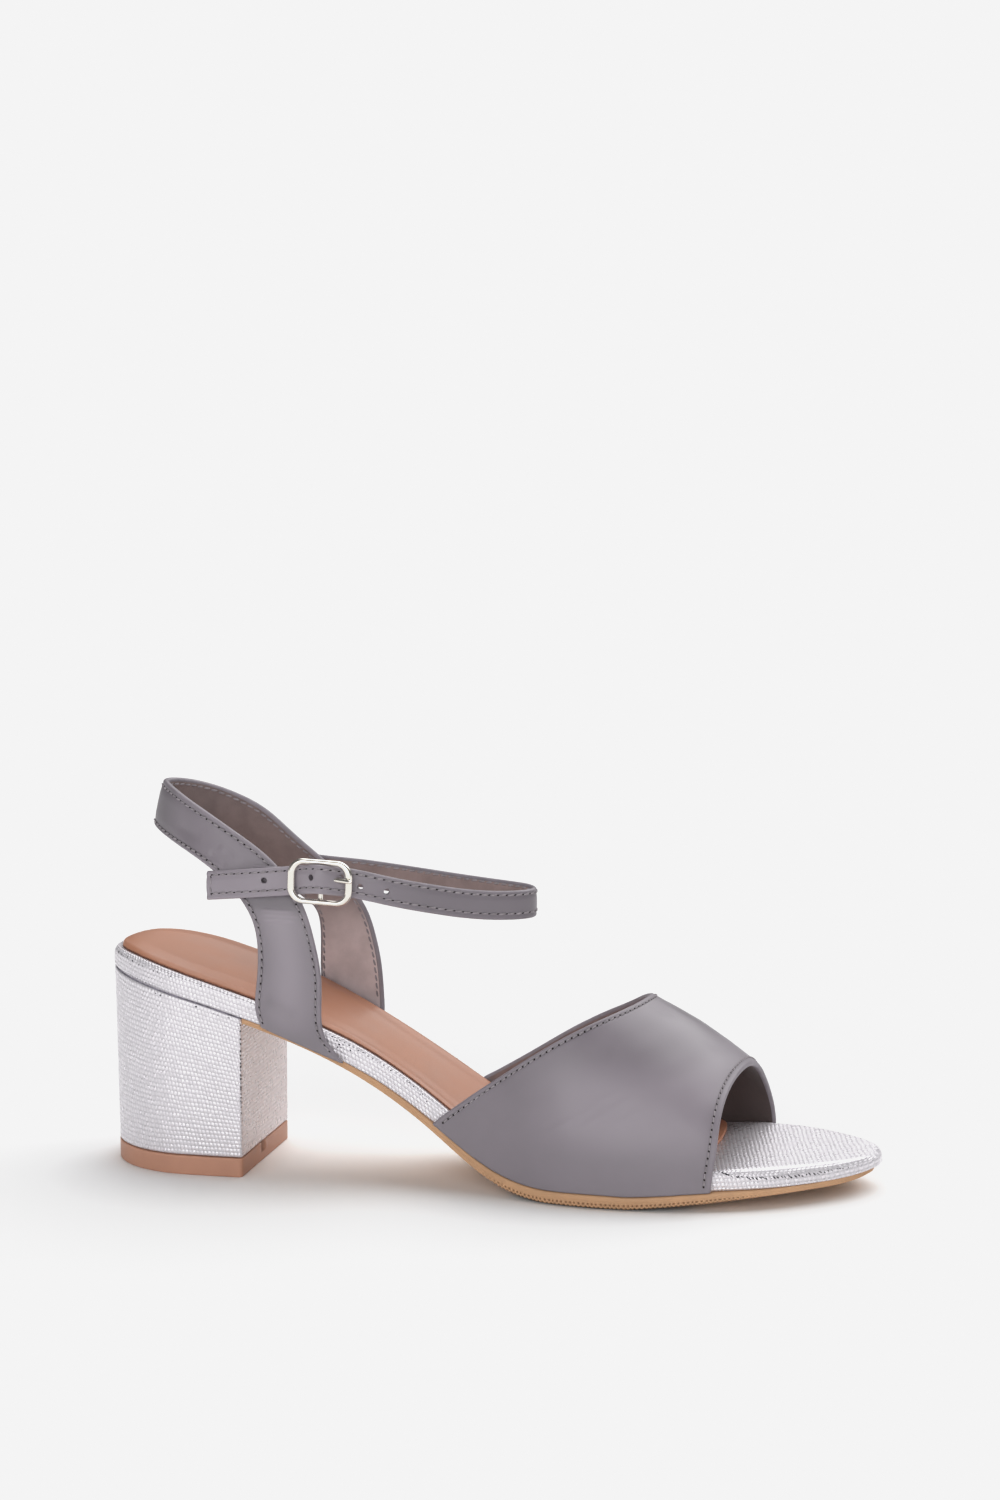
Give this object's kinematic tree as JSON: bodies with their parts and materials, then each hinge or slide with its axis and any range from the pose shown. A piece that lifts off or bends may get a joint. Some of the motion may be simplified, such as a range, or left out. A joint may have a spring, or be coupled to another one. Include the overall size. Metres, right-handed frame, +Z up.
{
  "type": "heeled sandal",
  "caption": "Open-toed block-heel sandal with a broad vamp, a sling round the heel, a buckled ankle strap and a wrapped footbed, for the right foot.",
  "frame": {"origin": "middle of the shoe's bounding box in plan, on the floor that heel and forefoot stand on", "axes": "+X from heel to toe, +Y to the inner (medial) side of the foot, +Z up"},
  "size_m": [0.2346, 0.0748, 0.1158],
  "materials": {
    "silver_foil": "silver foil with a fine embossed grid",
    "grey_leather": "smooth grey satin with soft creases",
    "tan_lining": "smooth tan lining with a soft gloss",
    "tan_rubber": "matt tan sole rubber",
    "heel_tip_plastic": "satin brown-tan top piece",
    "pale_nickel": "polished pale warm metal"
  },
  "bodies": {
    "root": {"outsole": "tan_rubber", "footbed": "silver_foil", "insole_sock": "tan_lining", "heel_block": "silver_foil", "heel_tip": "heel_tip_plastic", "vamp": "grey_leather", "heel_and_ankle_straps": "grey_leather", "buckle_frame": "pale_nickel", "buckle_prong": "pale_nickel", "buckle_tab": "grey_leather"}
  },
  "joints": []
}
